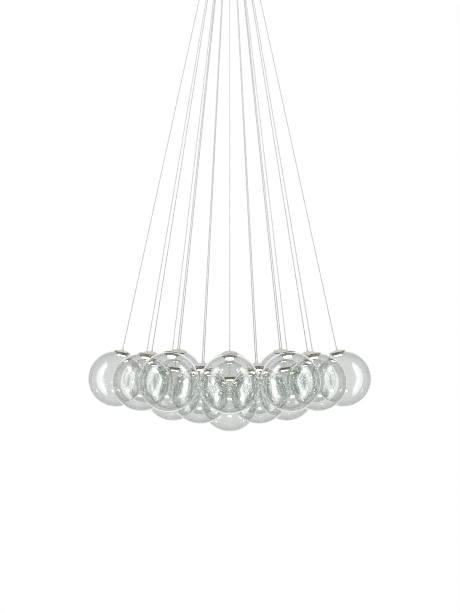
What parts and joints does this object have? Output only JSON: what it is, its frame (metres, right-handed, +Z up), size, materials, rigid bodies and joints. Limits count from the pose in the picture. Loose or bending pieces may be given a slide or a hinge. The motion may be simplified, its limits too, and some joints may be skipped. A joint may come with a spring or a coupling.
{
  "type": "cluster pendant",
  "caption": "Ceiling pendant: a hexagonal cluster of clear glass globes, each with a small metal cap and a warm LED, on thin cables that fan out from one round ceiling rose.",
  "frame": {"origin": "on the ceiling plane at the middle of the rose, straight above the middle globe", "axes": "+Z up out of the ceiling face, along the middle cable; +X along the row of five globes; the picture looks along +Y"},
  "size_m": [0.704, 0.6284, 1.218],
  "materials": {
    "clear_glass": "gloss",
    "satin_metal": "satin",
    "opal_diffuser": "satin",
    "cable_sheath": "satin",
    "rose_paint": "satin",
    "zinc_plated_steel": "satin",
    "driver_plastic": "matte",
    "terminal_plastic": "satin",
    "circuit_board": "satin"
  },
  "bodies": {
    "rose": {"mounting_plate": "zinc_plated_steel", "rose_cover": "rose_paint", "thumb_screws": "satin_metal", "cable_grips": "satin_metal", "grip_nuts": "zinc_plated_steel", "led_driver": "driver_plastic", "terminal_block": "terminal_plastic", "distribution_board": "circuit_board", "fixings": "zinc_plated_steel", "fixed_cables": "cable_sheath"},
    "lamp_01": {"lamp_head_01": "satin_metal", "glass_globe_01": "clear_glass"},
    "lamp_02": {"lamp_head_02": "satin_metal", "glass_globe_02": "clear_glass"},
    "lamp_03": {"lamp_head_03": "satin_metal", "glass_globe_03": "clear_glass"},
    "lamp_04": {"lamp_head_04": "satin_metal", "glass_globe_04": "clear_glass"},
    "lamp_05": {"lamp_head_05": "satin_metal", "glass_globe_05": "clear_glass"},
    "lamp_06": {"lamp_head_06": "satin_metal", "glass_globe_06": "clear_glass"},
    "lamp_07": {"lamp_head_07": "satin_metal", "glass_globe_07": "clear_glass"},
    "cable_08": {"cable_08": "cable_sheath"},
    "lamp_08": {"lamp_head_08": "satin_metal", "glass_globe_08": "clear_glass"},
    "cable_09": {"cable_09": "cable_sheath"},
    "lamp_09": {"lamp_head_09": "satin_metal", "glass_globe_09": "clear_glass"},
    "cable_10": {"cable_10": "cable_sheath"},
    "lamp_10": {"lamp_head_10": "satin_metal", "glass_globe_10": "clear_glass"},
    "cable_11": {"cable_11": "cable_sheath"},
    "lamp_11": {"lamp_head_11": "satin_metal", "glass_globe_11": "clear_glass"},
    "cable_12": {"cable_12": "cable_sheath"},
    "lamp_12": {"lamp_head_12": "satin_metal", "glass_globe_12": "clear_glass"},
    "cable_13": {"cable_13": "cable_sheath"},
    "lamp_13": {"lamp_head_13": "satin_metal", "glass_globe_13": "clear_glass"},
    "cable_14": {"cable_14": "cable_sheath"},
    "lamp_14": {"lamp_head_14": "satin_metal", "glass_globe_14": "clear_glass"},
    "cable_15": {"cable_15": "cable_sheath"},
    "lamp_15": {"lamp_head_15": "satin_metal", "glass_globe_15": "clear_glass"},
    "cable_16": {"cable_16": "cable_sheath"},
    "lamp_16": {"lamp_head_16": "satin_metal", "glass_globe_16": "clear_glass"},
    "cable_17": {"cable_17": "cable_sheath"},
    "lamp_17": {"lamp_head_17": "satin_metal", "glass_globe_17": "clear_glass"},
    "cable_18": {"cable_18": "cable_sheath"},
    "lamp_18": {"lamp_head_18": "satin_metal", "glass_globe_18": "clear_glass"},
    "cable_19": {"cable_19": "cable_sheath"},
    "lamp_19": {"lamp_head_19": "satin_metal", "glass_globe_19": "clear_glass"}
  },
  "joints": [
    {"name": "twist_01", "type": "hinge", "parent": "rose", "child": "lamp_01", "pos_m": [0, 0, -1.148], "axis": [0, 0, 1], "range_deg": [-180, 180], "stiffness_Nm_per_rad": 0.0003},
    {"name": "twist_02", "type": "hinge", "parent": "rose", "child": "lamp_02", "pos_m": [0.141, 0, -1.1214], "axis": [-0.1051, 0, 0.9945], "range_deg": [-180, 180], "stiffness_Nm_per_rad": 0.0003},
    {"name": "twist_03", "type": "hinge", "parent": "rose", "child": "lamp_03", "pos_m": [0.0705, 0.12211, -1.1214], "axis": [-0.0525, -0.091, 0.9945], "range_deg": [-180, 180], "stiffness_Nm_per_rad": 0.0003},
    {"name": "twist_04", "type": "hinge", "parent": "rose", "child": "lamp_04", "pos_m": [-0.0705, 0.12211, -1.1214], "axis": [0.0525, -0.091, 0.9945], "range_deg": [-180, 180], "stiffness_Nm_per_rad": 0.0003},
    {"name": "twist_05", "type": "hinge", "parent": "rose", "child": "lamp_05", "pos_m": [-0.141, 0, -1.1214], "axis": [0.1051, 0, 0.9945], "range_deg": [-180, 180], "stiffness_Nm_per_rad": 0.0003},
    {"name": "twist_06", "type": "hinge", "parent": "rose", "child": "lamp_06", "pos_m": [-0.0705, -0.12211, -1.1214], "axis": [0.0525, 0.091, 0.9945], "range_deg": [-180, 180], "stiffness_Nm_per_rad": 0.0003},
    {"name": "twist_07", "type": "hinge", "parent": "rose", "child": "lamp_07", "pos_m": [0.0705, -0.12211, -1.1214], "axis": [-0.0525, 0.091, 0.9945], "range_deg": [-180, 180], "stiffness_Nm_per_rad": 0.0003},
    {"name": "swing_08", "type": "hinge", "parent": "rose", "child": "cable_08", "pos_m": [0.042, 0.02425, -0.052], "axis": [0.5, -0.866, 0], "range_deg": [0, 45]},
    {"name": "twist_08", "type": "hinge", "parent": "cable_08", "child": "lamp_08", "pos_m": [0.2115, 0.12211, -1.0911], "axis": [-0.1603, -0.0926, 0.9827], "range_deg": [-180, 180], "stiffness_Nm_per_rad": 0.0003},
    {"name": "swing_09", "type": "hinge", "parent": "rose", "child": "cable_09", "pos_m": [0, 0.0485, -0.052], "axis": [1, 0, 0], "range_deg": [0, 45]},
    {"name": "twist_09", "type": "hinge", "parent": "cable_09", "child": "lamp_09", "pos_m": [0, 0.24422, -1.0911], "axis": [0, -0.1851, 0.9827], "range_deg": [-180, 180], "stiffness_Nm_per_rad": 0.0003},
    {"name": "swing_10", "type": "hinge", "parent": "rose", "child": "cable_10", "pos_m": [-0.042, 0.02425, -0.052], "axis": [0.5, 0.866, 0], "range_deg": [0, 45]},
    {"name": "twist_10", "type": "hinge", "parent": "cable_10", "child": "lamp_10", "pos_m": [-0.2115, 0.12211, -1.0911], "axis": [0.1603, -0.0926, 0.9827], "range_deg": [-180, 180], "stiffness_Nm_per_rad": 0.0003},
    {"name": "swing_11", "type": "hinge", "parent": "rose", "child": "cable_11", "pos_m": [-0.042, -0.02425, -0.052], "axis": [-0.5, 0.866, 0], "range_deg": [0, 45]},
    {"name": "twist_11", "type": "hinge", "parent": "cable_11", "child": "lamp_11", "pos_m": [-0.2115, -0.12211, -1.0911], "axis": [0.1603, 0.0926, 0.9827], "range_deg": [-180, 180], "stiffness_Nm_per_rad": 0.0003},
    {"name": "swing_12", "type": "hinge", "parent": "rose", "child": "cable_12", "pos_m": [0, -0.0485, -0.052], "axis": [-1, 0, 0], "range_deg": [0, 45]},
    {"name": "twist_12", "type": "hinge", "parent": "cable_12", "child": "lamp_12", "pos_m": [0, -0.24422, -1.0911], "axis": [0, 0.1851, 0.9827], "range_deg": [-180, 180], "stiffness_Nm_per_rad": 0.0003},
    {"name": "swing_13", "type": "hinge", "parent": "rose", "child": "cable_13", "pos_m": [0.042, -0.02425, -0.052], "axis": [-0.5, -0.866, 0], "range_deg": [0, 45]},
    {"name": "twist_13", "type": "hinge", "parent": "cable_13", "child": "lamp_13", "pos_m": [0.2115, -0.12211, -1.0911], "axis": [-0.1603, 0.0926, 0.9827], "range_deg": [-180, 180], "stiffness_Nm_per_rad": 0.0003},
    {"name": "swing_14", "type": "hinge", "parent": "rose", "child": "cable_14", "pos_m": [0.056, 0, -0.052], "axis": [0, -1, 0], "range_deg": [0, 45]},
    {"name": "twist_14", "type": "hinge", "parent": "cable_14", "child": "lamp_14", "pos_m": [0.282, 0, -1.0862], "axis": [-0.2135, 0, 0.9769], "range_deg": [-180, 180], "stiffness_Nm_per_rad": 0.0003},
    {"name": "swing_15", "type": "hinge", "parent": "rose", "child": "cable_15", "pos_m": [0.028, 0.0485, -0.052], "axis": [0.866, -0.5, 0], "range_deg": [0, 45]},
    {"name": "twist_15", "type": "hinge", "parent": "cable_15", "child": "lamp_15", "pos_m": [0.141, 0.24422, -1.0862], "axis": [-0.1067, -0.1849, 0.9769], "range_deg": [-180, 180], "stiffness_Nm_per_rad": 0.0003},
    {"name": "swing_16", "type": "hinge", "parent": "rose", "child": "cable_16", "pos_m": [-0.028, 0.0485, -0.052], "axis": [0.866, 0.5, 0], "range_deg": [0, 45]},
    {"name": "twist_16", "type": "hinge", "parent": "cable_16", "child": "lamp_16", "pos_m": [-0.141, 0.24422, -1.0862], "axis": [0.1067, -0.1849, 0.9769], "range_deg": [-180, 180], "stiffness_Nm_per_rad": 0.0003},
    {"name": "swing_17", "type": "hinge", "parent": "rose", "child": "cable_17", "pos_m": [-0.056, 0, -0.052], "axis": [0, 1, 0], "range_deg": [0, 45]},
    {"name": "twist_17", "type": "hinge", "parent": "cable_17", "child": "lamp_17", "pos_m": [-0.282, 0, -1.0862], "axis": [0.2135, 0, 0.9769], "range_deg": [-180, 180], "stiffness_Nm_per_rad": 0.0003},
    {"name": "swing_18", "type": "hinge", "parent": "rose", "child": "cable_18", "pos_m": [-0.028, -0.0485, -0.052], "axis": [-0.866, 0.5, 0], "range_deg": [0, 45]},
    {"name": "twist_18", "type": "hinge", "parent": "cable_18", "child": "lamp_18", "pos_m": [-0.141, -0.24422, -1.0862], "axis": [0.1067, 0.1849, 0.9769], "range_deg": [-180, 180], "stiffness_Nm_per_rad": 0.0003},
    {"name": "swing_19", "type": "hinge", "parent": "rose", "child": "cable_19", "pos_m": [0.028, -0.0485, -0.052], "axis": [-0.866, -0.5, 0], "range_deg": [0, 45]},
    {"name": "twist_19", "type": "hinge", "parent": "cable_19", "child": "lamp_19", "pos_m": [0.141, -0.24422, -1.0862], "axis": [-0.1067, 0.1849, 0.9769], "range_deg": [-180, 180], "stiffness_Nm_per_rad": 0.0003}
  ]
}
